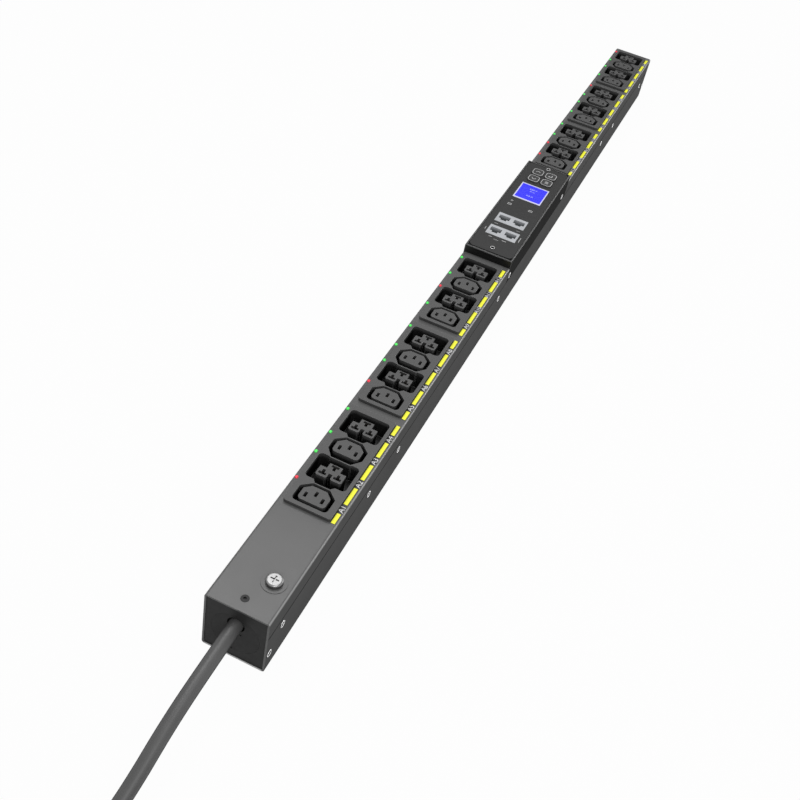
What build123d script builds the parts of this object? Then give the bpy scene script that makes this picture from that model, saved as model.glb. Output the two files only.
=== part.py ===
"""Rack power distribution unit: a steel channel with six outlet modules, a controller pod and a cord.

The unit lies on its back. X is across it, Y runs from the cord end to the far end, and Z points out of
the outlet face. The origin is the middle of the back. All sizes are in millimetres.
"""

import os
from math import pi, radians, tan

from build123d import *

os.makedirs("parts", exist_ok=True)

# Enclosure
width = 50.0
cover_top = 56.0
seam_height = 38.5
seam_gap = 0.3
sheet = 1.5
bend_radius = 2.0
fit_gap = 0.1
tongue_depth = 11.0
tongue_setback = 4.0

# End caps
cap_sheet = 1.2
cap_inset = 0.4
cap_corner = 1.8
cap_tab_margin = 7.0
cap_tab_width = 9.0
low_tab_reach = 12.0
low_tab_width = 16.0
top_tab_reach = 20.0
top_tab_width = 24.0

# Outlet modules, counted from the cord end
module_inset = 5.25
module_length = 119.5
module_offset = -0.6
module_gap = 9.0
modules_per_cover = 3
near_blank = 99.5
far_blank = 8.5
bezel_height = 3.0
bezel_corner = 2.5
bezel_ledge = 1.6
window_clearance = 0.2
pocket_depth = 17.0
module_floor = 3.0
foot_height = 1.8
foot_diameter = 4.0
foot_inset = 6.0
hook_width = 10.0
hook_height = 3.0
hook_bite = 0.8

# Outlets, counted from the first line and neutral row of their module
first_row = 12.5
outlet_offset = -0.9
c39_from_c13 = 26.8
pair_pitch = 57.0
pole_spacing = 14.0
earth_shift = 4.0
slot_width = 2.5
slot_height = 5.3
pocket_web = 0.8
pocket_corner = 3.5
c13_half_width = 14.7
c13_near = 8.9
c13_far = 12.9
c13_far_shoulder = 6.0
c13_far_flat = 7.0
c13_near_tab = 12.5
c13_near_shoulder = 4.4
c13_near_flat = 8.4
island_width = 22.5
island_near = 5.9
island_far = 10.1
island_shoulder = 5.1
island_far_flat = 6.2
island_corner = 3.0
c39_wall = 2.55
c39_near = 10.0
c39_far = 17.8
c39_tab_half = 8.9
c39_tab_flat = 6.5
c39_pole_spacing = 12.5
c39_notch = 3.3
c39_block_width = 9.2
c39_block_near = 4.4
c39_block_far = 5.5
c39_notch_top = 1.1
c39_earth_width = 10.9
c39_earth_far = 11.1
c39_break = 1.0
c39_pole_row = 0.5
c39_earth_row = 7.8
tee_bar = 6.4
tee_stroke = 2.5
tee_height = 5.6

# Contacts, boards and busbars
contact_thickness = 1.6
contact_width = 4.2
contact_setback = 7.0
board_thickness = 1.6
board_inset = 6.0
board_margin = 1.0
busbar_thickness = 1.5
busbar_height = 8.0
busbar_bottom = 12.0
busbar_spacing = 12.0
busbar_far_margin = 14.0
busbar_tab = 6.0
carrier_inset = 8.0
carrier_length = 10.0
carrier_grip = 4.0
carrier_shift = 25.0

# Indicators and labels, counted from the first row of their module
indicator_rows = (14.0, 46.0, 71.0, 102.5)
indicator_inset = 2.6
indicator_head = 2.8
indicator_stem = 1.6
indicator_dome = 1.3
indicator_reach = 7.0
red_outlets = (1, 5, 10, 13, 14, 20, 24)
label_gap = 0.2
label_thickness = 0.2
field_thickness = 0.12
field_inset = 0.25
number_rows = (3.6, 32.7, 60.9, 89.3)
number_gap = 10.0

# Controller pod, its near rows counted from its near end and its far rows from its far end
pod_length = 200.5
pod_near_gap = 7.0
pod_far_gap = 11.5
pod_rise = 8.5
pod_rim = 1.5
pod_rim_break = 0.5
deck_thickness = 2.0
fascia_thickness = 2.0
fascia_recess = 0.3
fascia_gap = 0.4
fascia_near_gap = 2.4
fascia_corner = 5.0
pod_board_drop = 10.6
pod_board_inset = 4.0
pod_board_margin = 7.0
boss_diameter = 6.0
boss_spacing_x = 34.0
boss_setback = 8.5
bracket_sheet = 1.2
bracket_margin = 1.7
bracket_top = 56.0
jack_width = 16.0
jack_length = 18.0
jack_setbacks = (42.0, 69.0)
jack_rise = 0.2
port_width = 11.8
port_length = 6.8
port_depth = 12.0
port_shift = 1.6
latch_width = 6.2
latch_length = 2.6
display_setback = 66.0
display_width = 28.5
display_length = 31.0
display_border = 1.3
display_lip = 2.4
display_frame_rise = 0.25
display_glass_drop = 0.4
display_body = 3.0
display_body_margin = 2.5
key_width = 12.6
key_length = 13.4
key_corner = 3.0
key_break = 0.4
key_pitch_x = 15.0
key_pitch_y = 16.0
keypad_setback = 27.5
key_rise = 1.1
key_travel = 0.8
key_gap = 0.35
key_stop_gap = 0.15
key_flange = 0.6
key_flange_height = 1.2
key_stem = 5.0
switch_size = 6.0
switch_height = 3.5
plunger_diameter = 3.4
plunger_height = 1.0

# Screws
screw_size = 3.0
side_head = 6.4
side_head_rise = 0.4
flat_head_rise = 0.1
side_screw_length = 6.0
side_screw_height = 32.0
side_screw_setbacks = (21.0, 38.5)
near_cover_screws = (61.5, 119.0)
far_cover_screws = (148.5, 206.0)
pod_side_screw = 20.0
end_screw_height = 18.6
end_screw_setback = 4.0
pod_screw_height = 46.0
pod_screw_setbacks = (4.0, 18.5)
top_screw_place = 10.5
flat_head = 6.4
flat_screw_length = 7.0
fascia_head = 5.0
fascia_screw_length = 5.0
fascia_screw_setbacks = (11.6, 5.0)
drive_width = 2.6
drive_depth = 1.0
earth_screw_x = 10.5
earth_screw_place = 32.0
earth_head = 12.6
earth_head_height = 3.6
earth_thread = 5.0
washer_size = 19.0
washer_height = 0.4
earth_screw_length = 8.0
earth_nut_size = 9.0
earth_nut_height = 4.0

# Mounting nuts pressed into the back
mount_setback = 55.0
mount_nut = 9.0
mount_nut_height = 4.0
mount_shank = 6.4
mount_thread = 4.2

# Cord entry
disc_height = 27.5
disc_inset = 6.0
disc_flange = 1.5
disc_flange_thickness = 1.8
disc_dimples = ((4.3, 28.6), (-2.0, 9.5))
dimple_diameter = 1.6
dimple_depth = 0.8
cord_drop = 8.5
cord_hole = 13.6
collar_wall = 1.6
collar_length = 9.0
cord_diameter = 11.0
cord_recess = 5.4
gland_flange = 1.6
gland_flange_length = 2.0
sheath_end = 34.0
clamp_place = 24.0
clamp_thickness = 4.0
clamp_wall = 5.0
clamp_foot = 12.0
clamp_foot_sheet = 2.0

# Terminal block and leads
terminal_start = 68.0
terminal_length = 24.0
terminal_width = 36.0
terminal_height = 22.0
terminal_wells = 5.0
terminal_well_depth = 6.0
lead_diameter = 3.4
lead_height = 14.0
lead_straight = 8.0
lead_run = 14.0

# Coil of the cord
coil_across = 48.6
coil_along = -222.0
coil_turn = 118.0
coil_pitch = 11.2
coil_columns = 2
coil_layers = 4
coil_entry = 20.0
coil_exit = 42.0
coil_corner = 4.0
tie_width = 14.0
tie_thickness = 0.7
tie_clearance = 0.7

# Plug
plug_width = 31.0
plug_height = 24.0
plug_length = 44.0
plug_corner = 5.0
shroud_length = 18.0
shroud_wall = 2.0
relief_length = 26.0
relief_diameter = 15.0
plug_pin_width = 8.0
plug_pin_thickness = 2.0
plug_pin_length = 14.0
plug_pin_spacing = 13.0
plug_pole_row = -3.0
plug_earth_row = 5.0

# Worked out from the sizes above
module_pitch = module_length + module_gap
bank_length = modules_per_cover * module_pitch - module_gap
pod_start = near_blank + bank_length + pod_near_gap
pod_end = pod_start + pod_length
far_modules_start = pod_end + pod_far_gap
length = far_modules_start + bank_length + far_blank
near_end = -length / 2
half = width / 2
inner_half = half - sheet
tongue_half = inner_half - fit_gap
inner_bend = bend_radius - sheet
base_top = seam_height - seam_gap / 2
cover_bottom = seam_height + seam_gap / 2
tongue_bottom = seam_height - tongue_depth
cover_under = cover_top - sheet
module_top = cover_top + bezel_height
pocket_floor = module_top - pocket_depth
module_bottom = pocket_floor - module_floor
board_top = module_bottom - foot_height
board_bottom = board_top - board_thickness
pod_top = cover_top + pod_rise
fascia_top = pod_top - fascia_recess
deck_top = fascia_top - fascia_thickness
deck_bottom = deck_top - deck_thickness
pod_board_top = deck_bottom - pod_board_drop
hole_radius = screw_size / 2 + fit_gap
near_starts = [near_blank + i * module_pitch for i in range(modules_per_cover)]
far_starts = [far_modules_start + i * module_pitch for i in range(modules_per_cover)]
module_width = width - 2 * module_inset
c39_half_width = module_width / 2 - c39_wall
indicator_x = indicator_inset - half
label_left = module_offset + module_width / 2 + label_gap
disc_diameter = width - 2 * disc_inset
cord_height = disc_height + disc_diameter / 2 - cord_drop
jack_rows = [pod_start + setback for setback in jack_setbacks]
display_row = pod_end - display_setback
keypad_row = pod_end - keypad_setback
pod_screw_places = [pod_start + pod_screw_setbacks[0], pod_end - pod_screw_setbacks[1]]
fascia_screw_places = [pod_start + fascia_screw_setbacks[0], pod_end - fascia_screw_setbacks[1]]
side_screw_places = [side_screw_setbacks[0]]
side_screw_places += [near_blank + shift for shift in near_cover_screws]
side_screw_places += [pod_start - pod_side_screw]
side_screw_places += [far_modules_start + shift for shift in far_cover_screws]
side_screw_places += [length - side_screw_setbacks[1]]


# Cord route: across, along from the cord end, and up
cord_route = (
    (0.0, 5.0, cord_height),
    (-0.5, -40.0, 35.6),
    (-1.2, -81.0, 29.0),
    (-1.5, -117.0, 16.5),
    (-4.0, -146.0, 6.3),
    (-14.0, -178.0, 6.3),
)

def along(distance):
    """Y of a place counted from the cord end."""
    return near_end + distance


def across(distance):
    """Upright plane across the unit, seen from the cord end: its X is X and its Y is Z."""
    return Plane.XZ.offset(-along(distance))


def level(height, distance=length / 2):
    """Level plane at a height, with its origin on the middle line at a distance from the cord end."""
    return Plane(origin=(0, along(distance), height))


def side_places(distances, height):
    """A place on each side wall for each distance, with its own Z pointing outwards."""
    right = [Location((half, along(d), height), (0, 90, 0)) for d in distances]
    left = [Location((-half, along(d), height), (0, -90, 0)) for d in distances]
    return right + left


def save(piece, name):
    """Label a finished piece and write it."""
    piece.part.label = name
    export_step(piece.part, f"parts/{name}.step")


low_screw_sides = side_places(side_screw_places, side_screw_height)
low_screw_sides += side_places((end_screw_setback, length - end_screw_setback), end_screw_height)
pod_screw_sides = side_places(pod_screw_places, pod_screw_height)
module_starts = near_starts + far_starts


# The base is a channel folded from one sheet
with BuildPart() as base_channel:
    with BuildSketch(across(0)) as section:
        with Locations((0, base_top / 2)):
            Rectangle(width, base_top)
        fillet(section.vertices().group_by(Axis.Y)[0], bend_radius)
    extrude(amount=-length)
    with BuildSketch(across(0)) as section:
        with Locations((0, sheet + base_top / 2)):
            Rectangle(2 * inner_half, base_top)
        fillet(section.vertices().group_by(Axis.Y)[0], inner_bend)
    extrude(amount=-length, mode=Mode.SUBTRACT)
    with Locations(*low_screw_sides):
        CounterSinkHole(hole_radius, side_head / 2, 2 * sheet, 90)
    with Locations(*[(0, along(d), 2 * sheet) for d in (mount_setback, length - mount_setback)]):
        Hole(mount_shank / 2, 3 * sheet)
save(base_channel, "base_channel")


def folded_cover(name, start, end, starts, entry):
    """A folded cover: a top, two flanges, and a tongue under each flange that tucks into the base."""
    with BuildPart() as cover:
        with BuildSketch(across(start)) as section:
            with BuildLine():
                Polyline(
                    (0, cover_top),
                    (half, cover_top),
                    (half, cover_bottom),
                    (tongue_half, cover_bottom),
                    (tongue_half, tongue_bottom),
                    (tongue_half - sheet, tongue_bottom),
                    (tongue_half - sheet, cover_bottom + sheet),
                    (inner_half, cover_bottom + 2 * sheet),
                    (inner_half, cover_under),
                    (0, cover_under),
                )
                mirror(about=Plane.YZ)
            make_face()
            fillet(section.vertices().group_by(Axis.Y)[-1], bend_radius)
        extrude(amount=start - end)
        with BuildSketch(level(tongue_bottom)):
            for notch in (start, end - tongue_setback):
                with Locations((0, along(notch + tongue_setback / 2))):
                    Rectangle(width, tongue_setback)
        extrude(amount=tongue_depth + seam_gap / 2, mode=Mode.SUBTRACT)
        with BuildSketch(level(cover_bottom)):
            for notch in (start, end - tongue_setback):
                with Locations((0, along(notch + tongue_setback / 2))):
                    Rectangle(2 * inner_half, tongue_setback)
        extrude(amount=2 * sheet, mode=Mode.SUBTRACT)
        with BuildSketch(level(cover_top)):
            for module_start in starts:
                with Locations((module_offset, module_start + module_length / 2 - length / 2)):
                    Rectangle(
                        module_width - 2 * bezel_ledge + 2 * window_clearance,
                        module_length - 2 * bezel_ledge + 2 * window_clearance,
                    )
        extrude(amount=-sheet, mode=Mode.SUBTRACT)
        rows = [m + first_row + row for m in starts for row in indicator_rows]
        with Locations(*[(indicator_x, along(row), cover_top) for row in rows]):
            CounterBoreHole(indicator_stem / 2 + fit_gap, indicator_head / 2 + fit_gap, sheet / 2, 2 * sheet)
        with Locations(*side_places([d for d in side_screw_places if start < d < end], side_screw_height)):
            Hole(hole_radius, 4 * sheet)
        if entry:
            with Locations((0, along(top_screw_place), cover_top)):
                CounterSinkHole(hole_radius, flat_head / 2, 2 * sheet, 90)
            with Locations((earth_screw_x, along(earth_screw_place), cover_top)):
                Hole(earth_thread / 2 + fit_gap, 2 * sheet)
    save(cover, name)


folded_cover("near_cover", 0, pod_start - fit_gap, near_starts, True)
folded_cover("far_cover", pod_end + fit_gap, length, far_starts, False)


def end_cap(name, end, screw_distance, entry):
    """A dark end plate with four side tabs and, at the cord end, a top tab and the hole of the disc."""
    inward = 1 if end == 0 else -1
    face = end + inward * cap_inset
    back = face + inward * cap_sheet
    top = cover_under - fit_gap
    bottom = sheet + fit_gap
    tab_half = tongue_half - sheet - fit_gap
    with BuildPart() as cap:
        with BuildSketch(across(face)) as plate:
            with Locations((0, (top + bottom) / 2)):
                Rectangle(2 * tongue_half, top - bottom)
            chamfer(plate.vertices(), cap_corner)
            if entry:
                with Locations((0, disc_height)):
                    Circle(disc_diameter / 2 + fit_gap, mode=Mode.SUBTRACT)
        extrude(amount=-inward * cap_sheet)
        with BuildSketch(across(back)):
            with Locations((tab_half - cap_sheet / 2, side_screw_height), (cap_sheet / 2 - tab_half, side_screw_height)):
                Rectangle(cap_sheet, cap_tab_width)
        extrude(amount=-inward * (screw_distance + cap_tab_margin))
        with BuildSketch(across(back)):
            for side in (1, -1):
                with Locations((side * (tongue_half - cap_sheet / 2), low_tab_width / 2 + cap_corner + bottom)):
                    Rectangle(cap_sheet, low_tab_width)
        extrude(amount=-inward * low_tab_reach)
        if entry:
            with BuildSketch(across(back)):
                with Locations((0, top - cap_sheet / 2)):
                    Rectangle(top_tab_width, cap_sheet)
            extrude(amount=-inward * top_tab_reach)
            with Locations((0, along(top_screw_place), top)):
                Hole(hole_radius, 2 * cap_sheet)
        with Locations(*side_places([end + inward * screw_distance], side_screw_height)):
            Hole(hole_radius, 6 * sheet)
        with Locations(*side_places([end + inward * end_screw_setback], end_screw_height)):
            Hole(hole_radius, 4 * sheet)
    save(cap, name)


end_cap("cord_end_cap", 0, side_screw_places[0], True)
end_cap("far_end_cap", length, length - side_screw_places[-1], False)

# The entry disc sits in the end plate, held by its flange, and its collar takes the cord off centre
disc_back = cap_inset + cap_sheet + fit_gap
with BuildPart() as cable_entry_disc:
    with BuildSketch(across(cap_inset)):
        with Locations((0, disc_height)):
            Circle(disc_diameter / 2)
    extrude(amount=-(cap_sheet + fit_gap))
    with BuildSketch(across(disc_back)):
        with Locations((0, disc_height)):
            Circle(disc_diameter / 2 + disc_flange)
    extrude(amount=-disc_flange_thickness)
    with BuildSketch(across(disc_back + disc_flange_thickness)):
        with Locations((0, cord_height)):
            Circle(cord_hole / 2 + collar_wall)
    extrude(amount=-collar_length)
    with BuildSketch(across(cap_inset)):
        with Locations((0, cord_height)):
            Circle(cord_hole / 2)
    extrude(amount=-(disc_back + disc_flange_thickness + collar_length), mode=Mode.SUBTRACT)
    with BuildSketch(across(cap_inset)):
        with Locations(*disc_dimples):
            Circle(dimple_diameter / 2)
    extrude(amount=-dimple_depth, mode=Mode.SUBTRACT)
save(cable_entry_disc, "cable_entry_disc")

# The gland is moulded onto the end of the sheath and stops behind the collar
collar_end = disc_back + disc_flange_thickness + collar_length
with BuildPart() as cord_gland:
    with BuildSketch(across(cord_recess)):
        with Locations((0, cord_height)):
            Circle(cord_hole / 2 - fit_gap)
    extrude(amount=cord_recess - collar_end - gland_flange_length)
    with BuildSketch(across(collar_end + fit_gap)):
        with Locations((0, cord_height)):
            Circle(cord_hole / 2 + gland_flange)
    extrude(amount=-gland_flange_length)
    with BuildSketch(across(collar_end)):
        with Locations((0, cord_height)):
            Circle(cord_diameter / 2)
    extrude(amount=collar_end - sheath_end)
save(cord_gland, "cord_gland")

# A bracket and a saddle clamp the sheath behind the gland
clamp_outer = cord_diameter + 2 * clamp_wall
with BuildPart() as clamp_bracket:
    with BuildSketch(across(clamp_place)):
        with Locations((0, (sheet + cord_height) / 2)):
            Rectangle(clamp_outer, cord_height - sheet)
        with Locations((0, cord_height)):
            Circle(cord_diameter / 2 + fit_gap, mode=Mode.SUBTRACT)
    extrude(amount=-clamp_thickness)
    with BuildSketch(level(sheet, clamp_place + clamp_foot / 2)):
        Rectangle(clamp_outer, clamp_foot)
    extrude(amount=clamp_foot_sheet)
save(clamp_bracket, "clamp_bracket")

with BuildPart() as clamp_saddle:
    with BuildSketch(across(clamp_place)) as section:
        with Locations((0, cord_height + clamp_outer / 4)):
            Rectangle(clamp_outer, clamp_outer / 2)
        chamfer(section.vertices().group_by(Axis.Y)[-1], clamp_wall - 1)
        with Locations((0, cord_height)):
            Circle(cord_diameter / 2 + fit_gap, mode=Mode.SUBTRACT)
    extrude(amount=-clamp_thickness)
save(clamp_saddle, "clamp_saddle")

# The terminal block has three screw wells, and the leads run to it from the sheath
with BuildPart() as terminal_block:
    with BuildSketch(level(sheet, terminal_start + terminal_length / 2)):
        Rectangle(terminal_width, terminal_length)
    extrude(amount=terminal_height)
    chamfer(terminal_block.edges().group_by(Axis.Z)[-1].filter_by(Axis.Y), 2)
    with Locations(level(sheet + terminal_height, terminal_start + terminal_length / 2)):
        with GridLocations(busbar_spacing, 0, 3, 1):
            Hole(terminal_wells / 2, terminal_well_depth)
save(terminal_block, "terminal_block")

conductors = (("earth", -1, -2.4, -1.5), ("line", 0, 0.0, 2.3), ("neutral", 1, 2.4, -1.5))
for name, side, x, rise in conductors:
    start = (x, along(sheath_end), cord_height + rise)
    foot = (side * busbar_spacing, along(terminal_start), lead_height)
    with BuildPart() as lead:
        with BuildLine() as route:
            FilletPolyline(
                start,
                (start[0], start[1] + lead_straight, start[2]),
                (foot[0], foot[1] - lead_run, foot[2]),
                foot,
                radius=2 * lead_diameter,
            )
        with BuildSketch(Plane(origin=start, x_dir=(1, 0, 0), z_dir=(0, 1, 0))):
            Circle(lead_diameter / 2)
        sweep(path=route.line)
    save(lead, f"{name}_lead")

# Each busbar stands in the carriers and sends a tab up to the boards under every module
bar_start = terminal_start + terminal_length
bar_end = length - busbar_far_margin
for name, side, _, _ in conductors:
    bar_x = side * busbar_spacing
    with BuildPart() as busbar:
        with BuildSketch(Plane.YZ.offset(bar_x - busbar_thickness / 2)):
            with Locations((along((bar_start + bar_end) / 2), busbar_bottom + busbar_height / 2)):
                Rectangle(bar_end - bar_start, busbar_height)
            for module_start in module_starts:
                with Locations((along(module_start + module_length / 2), (busbar_bottom + board_bottom) / 2)):
                    Rectangle(busbar_tab, board_bottom - busbar_bottom)
        extrude(amount=busbar_thickness)
    save(busbar, f"{name}_busbar")

with BuildPart() as busbar_carriers:
    for module_start in module_starts:
        place = module_start + module_length / 2 + carrier_shift
        with BuildSketch(across(place)) as comb:
            with Locations((0, (sheet + busbar_bottom + carrier_grip) / 2)):
                Rectangle(width - 2 * carrier_inset, busbar_bottom + carrier_grip - sheet)
            with Locations((0, busbar_bottom + carrier_grip / 2)):
                with GridLocations(busbar_spacing, 0, 3, 1):
                    Rectangle(busbar_thickness + 2 * fit_gap, carrier_grip, mode=Mode.SUBTRACT)
        extrude(amount=-carrier_length)
save(busbar_carriers, "busbar_carriers")

# One long board under each cover's modules
for name, starts in (("near_outlet_board", near_starts), ("far_outlet_board", far_starts)):
    board_start = starts[0] + board_margin
    board_end = starts[-1] + module_length - board_margin
    with BuildPart() as board:
        with BuildSketch(level(board_bottom, (board_start + board_end) / 2)):
            Rectangle(width - 2 * board_inset, board_end - board_start)
        extrude(amount=board_thickness)
    save(board, name)


def both_sides(*points):
    """Closed outline: the points of one side, and the same points mirrored across the middle line."""
    return [*points, *[(-x, y) for x, y in reversed(points)]]


def c13_pocket(row, near_tab):
    """Pocket of a C13 outlet: its far side narrows to a flat, and its near side too beside a C39."""
    near = [(c13_half_width, -c13_near)]
    if near_tab:
        near = [(c13_near_flat, -c13_near_tab), (c13_half_width, -c13_near_shoulder)]
    far = [(c13_half_width, c13_far_shoulder), (c13_far_flat, c13_far)]
    with BuildSketch(mode=Mode.PRIVATE) as pocket:
        Polygon(*both_sides(*near, *far), align=None)
        if not near_tab:
            fillet(pocket.vertices().group_by(Axis.Y)[0], pocket_corner)
    return pocket.sketch.moved(Location((outlet_offset, row)))


def c39_pocket(row):
    """Pocket of a combined outlet, with a narrow tab on its near side."""
    tab = c39_from_c13 - c13_far - pocket_web
    with BuildSketch(mode=Mode.PRIVATE) as pocket:
        with Locations((0, (c39_far - c39_near) / 2)):
            Rectangle(2 * c39_half_width, c39_far + c39_near)
        fillet(pocket.vertices(), pocket_corner)
        Polygon(*both_sides((c39_tab_flat, -tab), (c39_tab_half, -c39_near)), align=None)
    return pocket.sketch.moved(Location((outlet_offset, row)))


def c13_island(row):
    """The plain island that carries the three slots of a C13 outlet."""
    side = (
        (island_width / 2, -island_near),
        (island_width / 2, island_shoulder),
        (island_far_flat, island_far),
    )
    with BuildSketch(mode=Mode.PRIVATE) as island:
        Polygon(*both_sides(*side), align=None)
        fillet(island.vertices().group_by(Axis.Y)[0], island_corner)
    return island.sketch.moved(Location((outlet_offset, row)))


def c39_island(row):
    """The stepped island of a combined outlet: two pole blocks and an earth block."""
    pole_edge = c39_notch / 2 + c39_block_width
    side = (
        (c39_notch / 2, c39_notch_top),
        (c39_notch / 2, -c39_block_near),
        (pole_edge, -c39_block_near),
        (pole_edge, c39_block_far),
        (c39_earth_width / 2, c39_block_far),
        (c39_earth_width / 2, c39_earth_far),
    )
    with BuildSketch(mode=Mode.PRIVATE) as island:
        Polygon(*both_sides(*side), align=None)
        chamfer(island.vertices().group_by(Axis.Y)[0], c39_break)
    return island.sketch.moved(Location((outlet_offset, row)))


def c13_slots(row):
    """Three upright slots: line, neutral and earth."""
    with BuildSketch(mode=Mode.PRIVATE) as slots:
        with Locations(*c13_poles):
            Rectangle(slot_width, slot_height)
    return slots.sketch.moved(Location((outlet_offset, row)))


def c39_slots(row):
    """Three tee slots, which take flat blades either way round, their bars on the outer sides."""
    bar_shift = (tee_height - tee_stroke) / 2
    with BuildSketch(mode=Mode.PRIVATE) as slots:
        with Locations(*c39_poles):
            Rectangle(tee_stroke, tee_height)
        with Locations(*[(x, y + bar_shift if x == 0 else y - bar_shift) for x, y in c39_poles]):
            Rectangle(tee_bar, tee_stroke)
    return slots.sketch.moved(Location((outlet_offset, row)))


c13_poles = ((-pole_spacing / 2, 0), (pole_spacing / 2, 0), (0, earth_shift))
c39_poles = ((-c39_pole_spacing / 2, c39_pole_row), (c39_pole_spacing / 2, c39_pole_row), (0, c39_earth_row))
c13_rows = (0, pair_pitch)
c39_rows = (c39_from_c13, pair_pitch + c39_from_c13)
body_width = module_width - 2 * bezel_ledge
body_length = module_length - 2 * bezel_ledge

tabbed_pocket = c13_pocket(c13_rows[1], True)
with BuildSketch() as tabbed_web:
    offset(tabbed_pocket, amount=pocket_web, kind=Kind.INTERSECTION)
with BuildSketch() as pockets:
    for row in c39_rows:
        add(c39_pocket(row))
    add(tabbed_web.sketch, mode=Mode.SUBTRACT)
    add(tabbed_pocket)
    add(c13_pocket(c13_rows[0], False))
with BuildSketch() as islands:
    for row in c13_rows:
        add(c13_island(row))
    for row in c39_rows:
        add(c39_island(row))
with BuildSketch() as slots:
    for row in c13_rows:
        add(c13_slots(row))
    for row in c39_rows:
        add(c39_slots(row))

# The outlet mouldings: a bezel on the cover, a body through its window, and pockets round islands
for number, module_start in enumerate(module_starts, start=1):
    row_y = along(module_start + first_row)
    with BuildPart() as outlet_module:
        with BuildSketch(level(cover_top, module_start + module_length / 2)):
            with Locations((module_offset, 0)):
                RectangleRounded(module_width, module_length, bezel_corner)
        extrude(amount=bezel_height)
        with BuildSketch(level(cover_top, module_start + module_length / 2)):
            with Locations((module_offset, 0)):
                Rectangle(body_width, body_length)
        extrude(amount=module_bottom - cover_top)
        with BuildSketch(level(cover_under - fit_gap, module_start + module_length / 2)):
            with Locations((module_offset, 0)):
                Rectangle(hook_width, body_length + 2 * hook_bite)
        extrude(amount=-hook_height)
        with BuildSketch(level(module_bottom, module_start + module_length / 2)):
            with Locations((module_offset, 0)):
                with GridLocations(body_width - 2 * foot_inset, body_length - 2 * foot_inset, 2, 2):
                    Circle(foot_diameter / 2)
        extrude(amount=-foot_height)
        with BuildSketch(Plane(origin=(0, row_y, module_top))):
            add(pockets.sketch)
            add(islands.sketch, mode=Mode.SUBTRACT)
        extrude(amount=-pocket_depth, mode=Mode.SUBTRACT)
        with BuildSketch(Plane(origin=(0, row_y, module_top))):
            add(slots.sketch)
        extrude(amount=module_bottom - module_top, mode=Mode.SUBTRACT)
    save(outlet_module, f"outlet_module_{number}")

    with BuildPart() as contacts:
        with BuildSketch(Plane(origin=(0, row_y, board_top))):
            for row in c13_rows:
                for x, y in c13_poles:
                    with Locations((outlet_offset + x, row + y)):
                        Rectangle(contact_thickness, contact_width)
            for row in c39_rows:
                for x, y in c39_poles:
                    with Locations((outlet_offset + x, row + y)):
                        Rectangle(contact_thickness, contact_width)
        extrude(amount=module_top - contact_setback - board_top)
    save(contacts, f"contact_set_{number}")

# Light pipes: a domed head in a counterbore of the cover, on a thin stem
outlet_number = 0
red_rows = []
green_rows = []
for module_start in module_starts:
    for row in indicator_rows:
        outlet_number += 1
        rows = red_rows if outlet_number in red_outlets else green_rows
        rows.append(module_start + first_row + row)
with BuildPart(mode=Mode.PRIVATE) as light_pipe:
    with BuildSketch(Plane.XY.offset(-indicator_reach)):
        Circle(indicator_stem / 2)
    extrude(amount=indicator_reach - sheet / 2)
    with BuildSketch(Plane.XY.offset(-sheet / 2)):
        Circle(indicator_head / 2)
    extrude(amount=sheet / 2 + indicator_dome)
    chamfer(light_pipe.edges().group_by(Axis.Z)[-1], 0.55 * indicator_dome)
for name, rows in (("red_light_pipes", red_rows), ("green_light_pipes", green_rows)):
    with BuildPart() as light_pipes:
        with Locations(*[(indicator_x, along(row), cover_top) for row in rows]):
            add(light_pipe.part)
    save(light_pipes, name)

# Label strips beside the modules, with fields of colour between the places of the outlet numbers
label_right = half - bend_radius
label_width = label_right - label_left
with BuildPart() as label_strips:
    for module_start in module_starts:
        with BuildSketch(level(cover_top, module_start + module_length / 2)):
            with Locations(((label_left + label_right) / 2, 0)):
                Rectangle(label_width, module_length)
        extrude(amount=label_thickness)
save(label_strips, "label_strips")

with BuildPart() as label_fields:
    for module_start in module_starts:
        edges = [module_start]
        for row in number_rows:
            edges.append(module_start + first_row + row - number_gap / 2)
            edges.append(module_start + first_row + row + number_gap / 2)
        edges.append(module_start + module_length)
        for start, end in zip(edges[::2], edges[1::2]):
            with BuildSketch(level(cover_top + label_thickness, (start + end) / 2)):
                with Locations(((label_left + label_right) / 2, 0)):
                    Rectangle(label_width - 2 * field_inset, end - start - 2 * field_inset)
            extrude(amount=field_thickness)
save(label_fields, "label_fields")

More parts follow.
